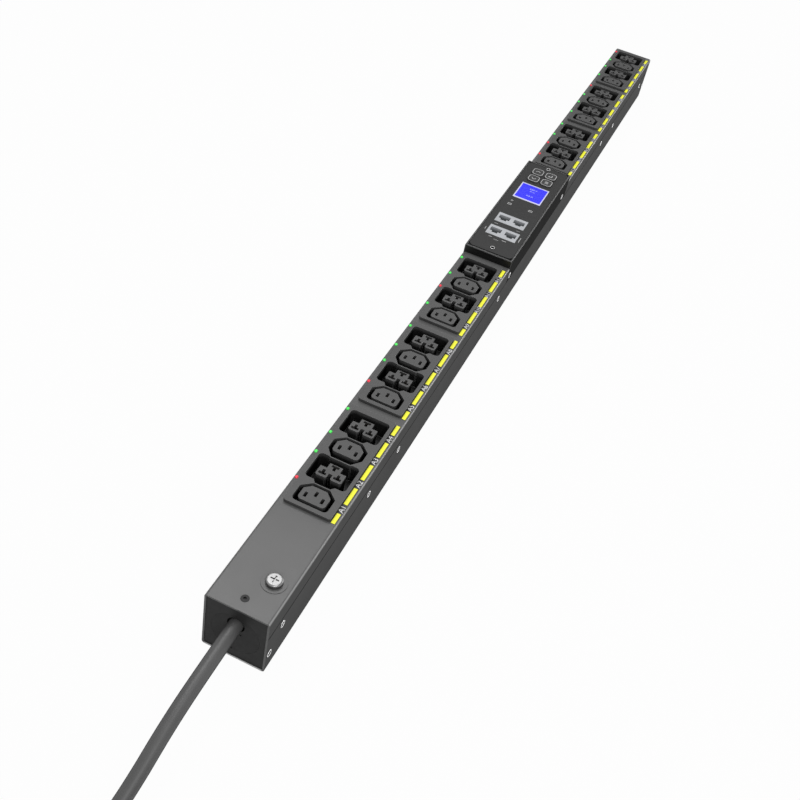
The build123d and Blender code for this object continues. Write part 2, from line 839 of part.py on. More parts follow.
# The controller pod: a housing with a sunk deck, a fascia on the deck, and the pieces in its windows
pod_middle = pod_start + pod_length / 2
keypad_width = key_pitch_x + key_width + 2 * key_flange + 2 * key_gap
keypad_length = key_pitch_y + key_length + 2 * key_flange + 2 * key_gap
frame_width = display_width + 2 * display_border
frame_length = display_length + display_border + display_lip
frame_row = display_row - (display_lip - display_border) / 2
boss_rows = (pod_start + boss_setback, pod_end - boss_setback)
with BuildPart() as controller_housing:
    with BuildSketch(level(cover_bottom, pod_middle)):
        Rectangle(width, pod_length)
    extrude(amount=pod_top - cover_bottom)
    chamfer(controller_housing.edges().group_by(Axis.Z)[-1], pod_rim_break)
    with BuildSketch(level(cover_bottom, pod_middle)):
        Rectangle(2 * inner_half, pod_length - 2 * sheet)
    extrude(amount=deck_bottom - cover_bottom, mode=Mode.SUBTRACT)
    with BuildSketch(level(deck_top, pod_middle)):
        Rectangle(width - 2 * pod_rim, pod_length - 2 * pod_rim)
    extrude(amount=pod_top - deck_top, mode=Mode.SUBTRACT)
    with BuildSketch(level(deck_bottom, 0)):
        for row in jack_rows:
            with Locations((0, row)):
                Rectangle(2 * jack_width + 2 * fit_gap, jack_length + 2 * fit_gap)
        with Locations((0, frame_row)):
            Rectangle(display_width + 2 * fit_gap, frame_length - 2 * display_border)
        with Locations((0, keypad_row)):
            Rectangle(keypad_width, keypad_length)
    extrude(amount=deck_thickness, mode=Mode.SUBTRACT)
    with BuildSketch(level(deck_bottom, 0)):
        for row in boss_rows:
            with Locations((0, row)):
                with GridLocations(boss_spacing_x, 0, 2, 1):
                    Circle(boss_diameter / 2)
    extrude(amount=-pod_board_drop)
    with Locations(*pod_screw_sides):
        CounterSinkHole(hole_radius, side_head / 2, 2 * sheet, 90)
    with Locations(*[(0, along(d), deck_top) for d in fascia_screw_places]):
        Hole(hole_radius, deck_thickness)
save(controller_housing, "controller_housing")

bracket_start = pod_start + bracket_margin
bracket_end = pod_end - bracket_margin
with BuildPart() as controller_bracket:
    with BuildSketch(across(bracket_start)):
        with Locations((0, (sheet + bracket_top) / 2)):
            Rectangle(2 * tongue_half, bracket_top - sheet)
        with Locations((0, (sheet + bracket_sheet + bracket_top) / 2)):
            Rectangle(2 * (tongue_half - bracket_sheet), bracket_top - sheet - bracket_sheet, mode=Mode.SUBTRACT)
    extrude(amount=bracket_start - bracket_end)
    chamfer(controller_bracket.edges().filter_by(Axis.Y).group_by(Axis.Z)[0], inner_bend)
    with Locations(*pod_screw_sides):
        Hole(hole_radius, 4 * sheet)
save(controller_bracket, "controller_bracket")

with BuildPart() as controller_board:
    with BuildSketch(level(pod_board_top - board_thickness, pod_middle)):
        Rectangle(width - 2 * pod_board_inset, pod_length - 2 * pod_board_margin)
    extrude(amount=board_thickness)
save(controller_board, "controller_board")

fascia_start = pod_start + pod_rim + fascia_near_gap
fascia_end = pod_end - pod_rim - fascia_gap
key_places = [
    ("key_down", -key_pitch_x / 2, -key_pitch_y / 2),
    ("key_back", key_pitch_x / 2, -key_pitch_y / 2),
    ("key_up", -key_pitch_x / 2, key_pitch_y / 2),
    ("key_enter", key_pitch_x / 2, key_pitch_y / 2),
]
with BuildPart() as controller_fascia:
    with BuildSketch(level(deck_top, (fascia_start + fascia_end) / 2)):
        RectangleRounded(width - 2 * pod_rim - 2 * fascia_gap, fascia_end - fascia_start, fascia_corner)
    extrude(amount=fascia_thickness)
    with BuildSketch(level(deck_top, 0)):
        for row in jack_rows:
            with Locations((0, row)):
                Rectangle(2 * jack_width + 2 * fit_gap, jack_length + 2 * fit_gap)
        with Locations((0, frame_row)):
            Rectangle(frame_width + 2 * fit_gap, frame_length + 2 * fit_gap)
        for _, x, y in key_places:
            with Locations((x, keypad_row + y)):
                RectangleRounded(key_width + 2 * key_gap, key_length + 2 * key_gap, key_corner + key_gap)
    extrude(amount=fascia_thickness, mode=Mode.SUBTRACT)
    with Locations(*[(0, along(d), fascia_top) for d in fascia_screw_places]):
        CounterSinkHole(hole_radius, fascia_head / 2, 2 * fascia_thickness, 90)
save(controller_fascia, "controller_fascia")

for name, row in (("network_jacks_lower", jack_rows[0]), ("network_jacks_upper", jack_rows[1])):
    with BuildPart() as jacks:
        with BuildSketch(level(pod_board_top, row)):
            Rectangle(2 * jack_width, jack_length)
        extrude(amount=fascia_top + jack_rise - pod_board_top)
        with BuildSketch(level(fascia_top + jack_rise, row)):
            with GridLocations(jack_width, 0, 2, 1):
                with Locations((0, port_shift)):
                    Rectangle(port_width, port_length)
                with Locations((0, port_shift - port_length / 2 - latch_length / 2)):
                    Rectangle(latch_width, latch_length)
        extrude(amount=-port_depth, mode=Mode.SUBTRACT)
    save(jacks, name)

with BuildPart() as display_panel:
    with BuildSketch(level(deck_bottom - display_body, display_row)):
        Rectangle(display_width + 2 * display_body_margin, display_length + 2 * display_body_margin)
    extrude(amount=display_body)
    with BuildSketch(level(deck_bottom, display_row)):
        Rectangle(display_width, display_length)
    extrude(amount=fascia_top - display_glass_drop - deck_bottom)
save(display_panel, "display_panel")

with BuildPart() as display_frame:
    with BuildSketch(level(deck_top, 0)):
        with Locations((0, frame_row)):
            Rectangle(frame_width, frame_length)
        with Locations((0, display_row)):
            Rectangle(display_width + 2 * fit_gap, display_length + 2 * fit_gap, mode=Mode.SUBTRACT)
    extrude(amount=fascia_thickness + display_frame_rise)
save(display_frame, "display_frame")

# The four keys travel in the fascia, each stopped by a flange under it, above its own switch
key_top = fascia_top + key_rise
flange_top = deck_top - key_stop_gap
switch_top = pod_board_top + switch_height + plunger_height
for name, x, y in key_places:
    with BuildPart() as key:
        with BuildSketch(level(flange_top, 0)):
            with Locations((x, keypad_row + y)):
                RectangleRounded(key_width, key_length, key_corner)
        extrude(amount=key_top - flange_top)
        chamfer(key.edges().group_by(Axis.Z)[-1], key_break)
        with BuildSketch(level(flange_top, 0)):
            with Locations((x, keypad_row + y)):
                Rectangle(key_width + 2 * key_flange, key_length + 2 * key_flange)
        extrude(amount=-key_flange_height)
        with BuildSketch(level(flange_top - key_flange_height, 0)):
            with Locations((x, keypad_row + y)):
                Rectangle(key_stem, key_stem)
        extrude(amount=switch_top + key_travel + fit_gap - flange_top + key_flange_height)
    save(key, name)

with BuildPart() as key_switches:
    for _, x, y in key_places:
        with BuildSketch(level(pod_board_top, 0)):
            with Locations((x, keypad_row + y)):
                Rectangle(switch_size, switch_size)
        extrude(amount=switch_height)
        with BuildSketch(level(pod_board_top + switch_height, 0)):
            with Locations((x, keypad_row + y)):
                Circle(plunger_diameter / 2)
        extrude(amount=plunger_height)
save(key_switches, "key_switches")


def countersunk_screw(head, rise, reach):
    """A countersunk screw along Z with its head's edge at zero height, a little crowned, and a hex drive."""
    rim = head / 2 - fit_gap
    with BuildPart(mode=Mode.PRIVATE) as screw:
        with BuildSketch(Plane.XZ):
            with BuildLine():
                Polyline(
                    (0, -reach),
                    (screw_size / 2, -reach),
                    (screw_size / 2, screw_size / 2 - rim),
                    (rim, 0),
                    (rim - rise, rise),
                    (0, rise),
                    close=True,
                )
            make_face()
        revolve(axis=Axis.Z)
        with BuildSketch(Plane.XY.offset(rise)):
            RegularPolygon(drive_width / 2, 6)
        extrude(amount=-drive_depth, mode=Mode.SUBTRACT)
    return screw.part


side_screw = countersunk_screw(side_head, side_head_rise, side_screw_length)
with BuildPart() as side_screws:
    with Locations(*low_screw_sides, *pod_screw_sides):
        add(side_screw)
save(side_screws, "side_screws")

cover_screw = countersunk_screw(flat_head, flat_head_rise, flat_screw_length)
with BuildPart() as top_screw:
    with Locations((0, along(top_screw_place), cover_top)):
        add(cover_screw)
save(top_screw, "top_screw")

fascia_screw = countersunk_screw(fascia_head, flat_head_rise, fascia_screw_length)
with BuildPart() as fascia_screws:
    with Locations(*[(0, along(d), fascia_top) for d in fascia_screw_places]):
        add(fascia_screw)
save(fascia_screws, "fascia_screws")

# The earth screw with its washer, and the nut that it draws up under the cover
earth_plane = Plane(origin=(earth_screw_x, along(earth_screw_place), cover_top))
with BuildPart() as earth_screw:
    with BuildSketch(earth_plane.offset(washer_height)):
        Circle(earth_head / 2)
    extrude(amount=earth_head_height)
    fillet(earth_screw.edges().group_by(Axis.Z)[-1], earth_head_height * 0.45)
    with BuildSketch(earth_plane.offset(washer_height)):
        Circle(earth_thread / 2)
    extrude(amount=-earth_screw_length)
    with BuildSketch(earth_plane.offset(washer_height + earth_head_height)):
        Rectangle(earth_head / 2, drive_depth)
        Rectangle(drive_depth, earth_head / 2)
    extrude(amount=-drive_depth, mode=Mode.SUBTRACT)
save(earth_screw, "earth_screw")

with BuildPart() as earth_washer:
    with BuildSketch(earth_plane):
        Circle(washer_size / 2)
        Circle(earth_thread / 2 + fit_gap, mode=Mode.SUBTRACT)
    extrude(amount=washer_height)
save(earth_washer, "earth_washer")

with BuildPart() as earth_nut:
    with BuildSketch(earth_plane.offset(-sheet)):
        RegularPolygon(earth_nut_size / 2, 6)
        Circle(earth_thread / 2 + fit_gap, mode=Mode.SUBTRACT)
    extrude(amount=-earth_nut_height)
save(earth_nut, "earth_nut")

with BuildPart() as mounting_nuts:
    for place in (mount_setback, length - mount_setback):
        with BuildSketch(level(0, place)):
            Circle(mount_shank / 2)
        extrude(amount=sheet)
        with BuildSketch(level(sheet, place)):
            Circle(mount_nut / 2)
        extrude(amount=mount_nut_height - sheet)
        with BuildSketch(level(0, place)):
            Circle(mount_thread / 2)
        extrude(amount=mount_nut_height, mode=Mode.SUBTRACT)
save(mounting_nuts, "mounting_nuts")

# The cord leaves the entry, sags to the surface and runs into its coil
points = [Vector(x, along(distance), z) for x, distance, z in cord_route]
radii = []
for before, corner, after in zip(points, points[1:], points[2:]):
    turn = radians((corner - before).get_angle(after - corner))
    shorter = min((corner - before).length, (after - corner).length)
    radii.append(0.45 * shorter / tan(turn / 2))
with BuildPart() as power_cord:
    with BuildLine() as route:
        FilletPolyline(*points, radius=radii)
    with BuildSketch(Plane(origin=points[0], z_dir=points[1] - points[0])):
        Circle(cord_diameter / 2)
    sweep(path=route.line)
save(power_cord, "power_cord")
section_area = pi * (cord_diameter / 2) ** 2
route_length = sum(edge.length for edge in route.edges())
print("cord radii", [round(r) for r in radii])
print("cord volume ratio", round(power_cord.part.volume / section_area / route_length, 4))

# The coil: its outer shape, with the straight stretches of cord that join it at the surface
outer_turn = coil_turn / 2 + coil_pitch * (coil_columns - 1) / 2
coil_centre = Vector(coil_across, along(coil_along), 0)
coil_bottom = cord_route[-1][2] - cord_diameter / 2
coil_width = coil_pitch * (coil_columns - 1) + cord_diameter
coil_height = coil_pitch * (coil_layers - 1) + cord_diameter
coil_plane = Plane(origin=(coil_centre.X, coil_centre.Y, coil_bottom))
with BuildPart() as cord_coil:
    with BuildSketch(Plane(origin=coil_plane.origin, x_dir=(1, 0, 0), z_dir=(0, -1, 0))) as section:
        with Locations((coil_turn / 2, coil_height / 2)):
            Rectangle(coil_width, coil_height)
        chamfer(section.vertices(), coil_corner)
    revolve(axis=Axis(coil_plane.origin, (0, 0, 1)))
    with BuildSketch(Plane(origin=points[-1], z_dir=points[-1] - points[-2])):
        Circle(cord_diameter / 2)
    extrude(amount=coil_entry)
    with BuildSketch(Plane(origin=(coil_centre.X + outer_turn, coil_centre.Y, points[-1].Z), z_dir=(0, 1, 0))):
        Circle(cord_diameter / 2)
    extrude(amount=coil_exit)
save(cord_coil, "cord_coil")

# The tie wraps the turns at the side away from the unit
tie_origin = (coil_centre.X - tie_width / 2, coil_centre.Y - coil_turn / 2, 0)
tie_plane = Plane(origin=tie_origin, x_dir=(0, 1, 0), z_dir=(1, 0, 0))
with BuildPart() as coil_tie:
    with BuildSketch(tie_plane):
        with Locations((0, coil_bottom + coil_height / 2)):
            Rectangle(
                coil_width + 2 * (tie_clearance + tie_thickness),
                coil_height + 2 * coil_bottom,
            )
            Rectangle(
                coil_width + 2 * tie_clearance,
                coil_height + 2 * coil_bottom - 2 * tie_thickness,
                mode=Mode.SUBTRACT,
            )
    extrude(amount=tie_width)
save(coil_tie, "coil_tie")

# The plug lies beside the coil: a strain relief and body, a shroud, and three flat pins in it
plug_start = coil_centre.Y + coil_exit
plug_x = coil_centre.X + outer_turn
plug_z = plug_height / 2
relief_end = plug_start + relief_length
body_end = relief_end + plug_length
with BuildPart() as plug_body:
    with BuildSketch(Plane(origin=(plug_x, plug_start, points[-1].Z), x_dir=(1, 0, 0), z_dir=(0, 1, 0))):
        Circle(cord_diameter / 2 + 0.6)
    with BuildSketch(Plane(origin=(plug_x, relief_end, plug_z), x_dir=(1, 0, 0), z_dir=(0, 1, 0))):
        Circle(relief_diameter / 2)
    loft()
    with BuildSketch(Plane(origin=(plug_x, relief_end, plug_z), x_dir=(1, 0, 0), z_dir=(0, 1, 0))):
        RectangleRounded(plug_width, plug_height, plug_corner)
    extrude(amount=plug_length)
    with BuildSketch(Plane(origin=(plug_x, body_end, plug_z), x_dir=(1, 0, 0), z_dir=(0, 1, 0))):
        RectangleRounded(plug_width - 2 * shroud_wall, plug_height - 2 * shroud_wall, plug_corner - shroud_wall)
    extrude(amount=-shroud_length, mode=Mode.SUBTRACT)
save(plug_body, "plug_body")

with BuildPart() as plug_pins:
    with BuildSketch(Plane(origin=(plug_x, body_end - shroud_length, plug_z), x_dir=(1, 0, 0), z_dir=(0, 1, 0))):
        poles = ((-plug_pin_spacing / 2, plug_pole_row), (plug_pin_spacing / 2, plug_pole_row), (0, plug_earth_row))
        with Locations(*poles):
            Rectangle(plug_pin_width, plug_pin_thickness)
    extrude(amount=plug_pin_length)
save(plug_pins, "plug_pins")
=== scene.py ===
"""Rack power distribution unit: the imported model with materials, print, cord, floor, light and camera."""

from math import cos, pi, radians, sin

import bpy
from mathutils import Matrix, Vector


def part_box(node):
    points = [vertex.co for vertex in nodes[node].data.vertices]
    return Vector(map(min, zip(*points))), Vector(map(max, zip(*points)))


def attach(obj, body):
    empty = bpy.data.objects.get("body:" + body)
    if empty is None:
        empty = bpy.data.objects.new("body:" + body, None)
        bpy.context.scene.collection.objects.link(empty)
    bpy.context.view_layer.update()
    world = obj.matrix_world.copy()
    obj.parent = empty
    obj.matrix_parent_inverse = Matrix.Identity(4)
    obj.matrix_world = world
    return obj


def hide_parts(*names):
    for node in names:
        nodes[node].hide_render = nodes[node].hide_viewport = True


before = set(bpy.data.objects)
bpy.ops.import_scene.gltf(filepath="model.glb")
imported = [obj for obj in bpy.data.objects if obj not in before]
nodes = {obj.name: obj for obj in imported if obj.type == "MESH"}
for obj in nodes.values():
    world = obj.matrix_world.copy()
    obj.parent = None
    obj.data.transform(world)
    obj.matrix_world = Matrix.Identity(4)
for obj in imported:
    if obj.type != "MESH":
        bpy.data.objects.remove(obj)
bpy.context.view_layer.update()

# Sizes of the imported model, in millimetres. Distances run along it from the cord end.
half_width = 25.0
enclosure_length = 1080.0
sheet = 1.5
near_end = -enclosure_length / 2000


def at(x, distance, z):
    """A place in metres, from millimetres across, along from the cord end, and up."""
    return Vector((x / 1000, near_end + distance / 1000, z / 1000))


def top_of(node):
    """Height of a node's top in millimetres."""
    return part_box(node)[1][2] * 1000


# ---- Materials


def grey(value):
    """Linear grey that shows as this 8-bit value."""
    return (((value / 255 + 0.055) / 1.055) ** 2.4,) * 3


def colour(r, g, b):
    """Linear colour that shows as these 8-bit values."""
    return tuple(grey(v)[0] for v in (r, g, b))


def ranged(tree, value, low, high, start=0.0, end=1.0):
    """A value taken from one range to another and held there."""
    node = tree.nodes.new("ShaderNodeMapRange")
    for name, number in (("From Min", low), ("From Max", high), ("To Min", start), ("To Max", end)):
        node.inputs[name].default_value = number
    tree.links.new(value, node.inputs["Value"])
    return node.outputs["Result"]


def dotted(tree, a, b):
    """Dot product of a direction with a socket or a fixed direction."""
    node = tree.nodes.new("ShaderNodeVectorMath")
    node.operation = "DOT_PRODUCT"
    tree.links.new(a, node.inputs[0])
    if isinstance(b, tuple):
        node.inputs[1].default_value = b
    else:
        tree.links.new(b, node.inputs[1])
    return node.outputs["Value"]


def mixed(tree, share, base, other):
    """A colour, with so much of another one over it."""
    node = tree.nodes.new("ShaderNodeMix")
    node.data_type = "RGBA"
    tree.links.new(share, node.inputs["Factor"])
    tree.links.new(base, node.inputs[6])
    node.inputs[7].default_value = (*other, 1)
    return node.outputs[2]


def edge_share(tree, soft_normal):
    """How near an edge is, from the way that its softened normal turns."""
    facet = tree.nodes.new("ShaderNodeNewGeometry")
    return ranged(tree, dotted(tree, soft_normal, facet.outputs["True Normal"]), 0.99, 0.86)


def painted_hollow_shade(top, bottom, dark):
    """Painted shade: colour that darkens from one height to another, in metres, for the shade down in a deep
    hollow.
    """

    def painted_shading(tree, shade):
        place = tree.nodes.new("ShaderNodeNewGeometry")
        height = dotted(tree, place.outputs["Position"], (0, 0, 1))
        return mixed(tree, ranged(tree, height, top, bottom), shade, dark)

    return painted_shading


def painted_facing_shading(direction, start, full, other):
    """Painted light and shade: another colour where the surface faces a direction, for how light falls on it.
    """

    def painted_shading(tree, shade):
        place = tree.nodes.new("ShaderNodeNewGeometry")
        facing = dotted(tree, place.outputs["True Normal"], direction)
        return mixed(tree, ranged(tree, facing, start, full), shade, other)

    return painted_shading


def finish(
    name, base, rough, metal=0.0, grain=1500.0, bump=0.1, mottle=0.12, patch=60.0, edge=0.0002,
    stretch=(1, 1, 1), sheen=0.5, rim=None, painted_shading=None
):
    """A moulded, painted or metal surface: mottled colour, uneven gloss, a fine grain and softened edges.

    grain and patch are the scales of the bump and of the mottling, a share of mottle each way. edge is the
    radius of its edges in metres. sheen is the specular level where the surface isn't metal, and fades at
    grazing angles. rim is a highlight colour painted along its edges, and painted_shading a function that
    paints light and shade into the colour by place.
    """
    material = bpy.data.materials.new(name)
    material.use_nodes = True
    tree = material.node_tree
    shader = tree.nodes["Principled BSDF"]
    shader.inputs["Metallic"].default_value = metal
    if metal < 0.5:
        facing = tree.nodes.new("ShaderNodeLayerWeight")
        fade = ranged(tree, facing.outputs["Facing"], 0.4, 0.7, sheen, 0)
        tree.links.new(fade, shader.inputs["Specular IOR Level"])
    coordinates = tree.nodes.new("ShaderNodeTexCoord")
    mapping = tree.nodes.new("ShaderNodeMapping")
    mapping.inputs["Scale"].default_value = stretch
    tree.links.new(coordinates.outputs["Object"], mapping.inputs["Vector"])

    def noise(scale, detail):
        node = tree.nodes.new("ShaderNodeTexNoise")
        node.inputs["Scale"].default_value = scale
        node.inputs["Detail"].default_value = detail
        tree.links.new(mapping.outputs["Vector"], node.inputs["Vector"])
        return node.outputs["Fac"]

    ramp = tree.nodes.new("ShaderNodeValToRGB")
    for stop, position, share in zip(ramp.color_ramp.elements, (0.3, 0.7), (1 - mottle, 1 + mottle)):
        stop.position = position
        stop.color = (*[min(1, c * share) for c in base], 1)
    tree.links.new(noise(patch, 4), ramp.inputs["Fac"])
    shade = ramp.outputs["Color"]
    # Painted light and shade, where a function for it is given.
    if painted_shading:
        shade = painted_shading(tree, shade)

    gloss = ranged(tree, noise(patch * 4, 3), 0, 1, rough * 0.85, min(1, rough * 1.15))
    tree.links.new(gloss, shader.inputs["Roughness"])

    texture = tree.nodes.new("ShaderNodeBump")
    texture.inputs["Strength"].default_value = bump
    texture.inputs["Distance"].default_value = 0.0001
    tree.links.new(noise(grain, 2), texture.inputs["Height"])
    if edge:
        soft_edge = tree.nodes.new("ShaderNodeBevel")
        soft_edge.samples = 4
        soft_edge.inputs["Radius"].default_value = edge
        tree.links.new(soft_edge.outputs["Normal"], texture.inputs["Normal"])
        # Painted highlight: the rim colour is mixed in near the edges.
        if rim:
            shade = mixed(tree, edge_share(tree, soft_edge.outputs["Normal"]), shade, rim)
    tree.links.new(shade, shader.inputs["Base Color"])
    tree.links.new(texture.outputs["Normal"], shader.inputs["Normal"])
    return material


def paint(material, *names):
    """Give CAD nodes a material in place of their own."""
    for name in names:
        mesh = nodes[name].data
        mesh.materials.clear()
        mesh.materials.append(material)


bodies = {f"key_{way}": f"{way}_button" for way in ("up", "enter", "down", "back")}
bend_highlight_way = (0.7071, 0, 0.7071)
module_top = top_of("outlet_module_1") / 1000
jack_top = top_of("network_jacks_lower") / 1000

# Painted highlight: a lighter grey on the bends between the top and the sides.
enclosure_paint = finish(
    "enclosure_paint", grey(88), 0.3, grain=1400, bump=0.12, mottle=0.04, patch=25, sheen=0.35,
    painted_shading=painted_facing_shading(bend_highlight_way, 0.93, 0.97, grey(135))
)
end_paint = finish("end_paint", grey(36), 0.55, grain=1800, bump=0.14, mottle=0.06, sheen=0.2)
# Painted highlight: a lighter grey along the edges. Painted shade: darker towards the bottom of the deep
# outlet hollows.
module_plastic = finish(
    "module_plastic", grey(68), 0.5, grain=2600, bump=0.22, mottle=0.05, edge=0.0005, rim=grey(120),
    painted_shading=painted_hollow_shade(module_top - 0.0015, module_top - 0.0045, grey(16))
)
disc_plastic = finish("disc_plastic", grey(38), 0.6, grain=2200, bump=0.2, mottle=0.06, sheen=0.2)
# Painted highlight: a lighter grey along the edges. Painted shade: near black on the faces towards the cord
# end.
pod_plastic = finish(
    "pod_plastic", grey(50), 0.45, grain=2600, bump=0.2, mottle=0.06, edge=0.0007, rim=grey(140), sheen=0.3,
    painted_shading=painted_facing_shading((0, -1, 0), 0.6, 0.9, grey(16))
)
# Painted highlight: a lighter grey along the edges.
fascia_plastic = finish(
    "fascia_plastic", grey(40), 0.55, grain=3000, bump=0.18, mottle=0.05, edge=0.0004, rim=grey(80), sheen=0.3
)
# Painted highlight: a paler colour along the edges. Painted shade: darker down in the port hollows.
jack_shell = finish(
    "jack_shell", colour(178, 180, 184), 0.35, grain=1200, bump=0.08, mottle=0.08, rim=colour(215, 222, 212),
    painted_shading=painted_hollow_shade(jack_top - 0.0008, jack_top - 0.004, colour(112, 116, 118))
)
frame_plastic = finish("frame_plastic", colour(214, 214, 240), 0.4, grain=2400, bump=0.05, mottle=0.03)
key_rubber = finish("key_rubber", grey(46), 0.6, grain=3200, bump=0.25, mottle=0.08, edge=0.0004)
print_white = finish("print_white", grey(225), 0.6, grain=3000, bump=0.05, mottle=0.05, edge=0)
print_grey = finish("print_grey", grey(180), 0.6, grain=3000, bump=0.05, mottle=0.08, edge=0)
board_green = finish("board_green", colour(24, 92, 52), 0.4, grain=900, bump=0.1, mottle=0.2, patch=200)
switch_black = finish("switch_black", grey(30), 0.4, mottle=0.1)
brass = finish("brass", colour(214, 170, 96), 0.3, metal=1, grain=900, bump=0.08, mottle=0.12, patch=150)
copper = finish(
    "copper", colour(200, 124, 84), 0.32, metal=1, grain=700, bump=0.1, mottle=0.15, stretch=(1, 0.05, 1)
)
label_black = finish("label_black", grey(26), 0.4, grain=2000, bump=0.05, mottle=0.08, edge=0)
label_yellow = finish("label_yellow", colour(255, 255, 62), 0.55, grain=2600, bump=0.06, mottle=0.04, edge=0)
screw_steel = finish("screw_steel", grey(215), 0.3, metal=0.9, grain=2400, bump=0.1, mottle=0.1)
black_screw = finish("black_screw", grey(22), 0.4, grain=2000, bump=0.1, mottle=0.1, sheen=0.25)
bright_steel = finish(
    "bright_steel", grey(128), 0.28, metal=1, grain=900, bump=0.05, mottle=0.06, edge=0.0003
)
zinc = finish("zinc", grey(170), 0.4, metal=0.9, grain=600, bump=0.1, mottle=0.2, patch=180)
sheath = finish("sheath", grey(72), 0.42, grain=700, bump=0.02, mottle=0.05, patch=90, edge=0)
plug_rubber = finish("plug_rubber", grey(44), 0.6, grain=1600, bump=0.25, mottle=0.1)
pin_metal = finish("pin_metal", grey(205), 0.25, metal=1, grain=800, bump=0.05, mottle=0.08)
tie_nylon = finish("tie_nylon", grey(36), 0.5, mottle=0.1)
brown = finish("brown_insulation", colour(110, 62, 34), 0.5, mottle=0.1)
blue = finish("blue_insulation", colour(42, 92, 180), 0.5, mottle=0.1)
green_yellow = finish("green_yellow_insulation", colour(120, 170, 40), 0.5, mottle=0.25, patch=120)


def glowing(name, base, strength, rough=0.2, mottle=0.1, patch=400.0):
    """A lit lens or screen: the same finish, with some light of its own."""
    material = finish(name, base, rough, grain=1200, bump=0.03, mottle=mottle, patch=patch, edge=0)
    shader = material.node_tree.nodes["Principled BSDF"]
    shader.inputs["Emission Color"].default_value = (*base, 1)
    shader.inputs["Emission Strength"].default_value = strength
    return material


green_lens = glowing("green_lens", colour(70, 205, 84), 0.8)
red_lens = glowing("red_lens", colour(214, 50, 66), 0.7)
lcd_blue = glowing("lcd_blue", colour(34, 34, 250), 0.25, rough=0.4, mottle=0.04, patch=2200)
lcd_text = glowing("lcd_text", colour(165, 170, 255), 0.4, rough=0.4)

paint(enclosure_paint, "base_channel", "near_cover", "far_cover", "earth_washer")
paint(end_paint, "cord_end_cap", "far_end_cap")
paint(module_plastic, *[f"outlet_module_{n}" for n in range(1, 7)])
paint(disc_plastic, "cable_entry_disc", "clamp_saddle", "busbar_carriers", "terminal_block")
paint(pod_plastic, "controller_housing")
paint(fascia_plastic, "controller_fascia")
paint(jack_shell, "network_jacks_lower", "network_jacks_upper")
paint(frame_plastic, "display_frame")
paint(lcd_blue, "display_panel")
paint(key_rubber, *bodies)
paint(board_green, "controller_board", "near_outlet_board", "far_outlet_board")
paint(switch_black, "key_switches")
paint(brass, *[f"contact_set_{n}" for n in range(1, 7)])
paint(copper, "line_busbar", "neutral_busbar", "earth_busbar")
paint(green_lens, "green_light_pipes")
paint(red_lens, "red_light_pipes")
paint(label_black, "label_strips")
paint(label_yellow, "label_fields")
paint(black_screw, "side_screws", "fascia_screws", "top_screw")
paint(zinc, "controller_bracket", "clamp_bracket", "mounting_nuts", "earth_nut")
paint(bright_steel, "earth_screw")
paint(sheath, "cord_gland")
paint(brown, "line_lead")
paint(blue, "neutral_lead")
paint(green_yellow, "earth_lead")
paint(plug_rubber, "plug_body")
paint(pin_metal, "plug_pins")
paint(tie_nylon, "coil_tie")


# ---- Print and small marks


def add(name, data, material, body="housing"):
    """Put a curve, text or mesh in the scene as a piece that rides on a body."""
    piece = bpy.data.objects.new(name, data)
    bpy.context.scene.collection.objects.link(piece)
    data.materials.append(material)
    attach(piece, body)
    return piece


def printed(name, loops, x, distance, z, material, thickness=0.06, body="housing"):
    """A flat mark from closed loops of points in millimetres; a loop inside another is a hole."""
    curve = bpy.data.curves.new(name, "CURVE")
    curve.dimensions = "2D"
    curve.fill_mode = "BOTH"
    curve.extrude = thickness / 2000
    centre = at(x, distance, z + thickness / 2)
    for loop in loops:
        spline = curve.splines.new("POLY")
        spline.points.add(len(loop) - 1)
        for point, (u, v) in zip(spline.points, loop):
            point.co = (u / 1000 + centre.x, v / 1000 + centre.y, 0, 1)
        spline.use_cyclic_u = True
    curve.transform(Matrix.Translation((0, 0, centre.z)))
    return add(name, curve, material, body)


def rounded(width, length, radius, steps=5):
    """Closed loop of a rounded rectangle about its middle."""
    loop = []
    for quarter, (sx, sy) in enumerate(((1, 1), (-1, 1), (-1, -1), (1, -1))):
        for step in range(steps + 1):
            turn = radians(90 * quarter + 90 * step / steps)
            centre = (sx * (width / 2 - radius), sy * (length / 2 - radius))
            loop.append((centre[0] + radius * cos(turn), centre[1] + radius * sin(turn)))
    return loop


def bar(width, length, u=0.0, v=0.0):
    """Closed loop of a plain rectangle."""
    return [(u + a * width / 2, v + b * length / 2) for a, b in ((-1, -1), (1, -1), (1, 1), (-1, 1))]


def chevron(size, stroke, way):
    """Closed loop of an arrow head that points along Y."""
    half = size / 2
    outer = [(-half, 0), (0, half * 0.9), (half, 0)]
    inner = [(half, -stroke), (0, half * 0.9 - stroke), (-half, -stroke)]
    return [(u, way * v) for u, v in outer + inner]


def lettered(name, words, size, x, distance, z, material, turn=0.0):
    """Raised print of a few figures, centred on its place."""
    text = bpy.data.curves.new(name, "FONT")
    text.body = words
    text.size = size / 1000
    text.extrude = 0.00003
    text.align_x = "CENTER"
    text.align_y = "CENTER"
    text.offset = 0.00002
    piece = add(name, text, material)
    piece.matrix_basis = Matrix.Translation(at(x, distance, z)) @ Matrix.Rotation(turn, 4, "Z")
    return piece


def strip(name, across, along, up, material):
    """A thin straight bar between three pairs of places."""
    corners = [at(x, d, z) for x in across for d in along for z in up]
    faces = [(0, 1, 3, 2), (4, 6, 7, 5), (0, 4, 5, 1), (2, 3, 7, 6), (0, 2, 6, 4), (1, 5, 7, 3)]
    mesh = bpy.data.meshes.new(name)
    mesh.from_pydata(corners, [], faces)
    return add(name, mesh, material)


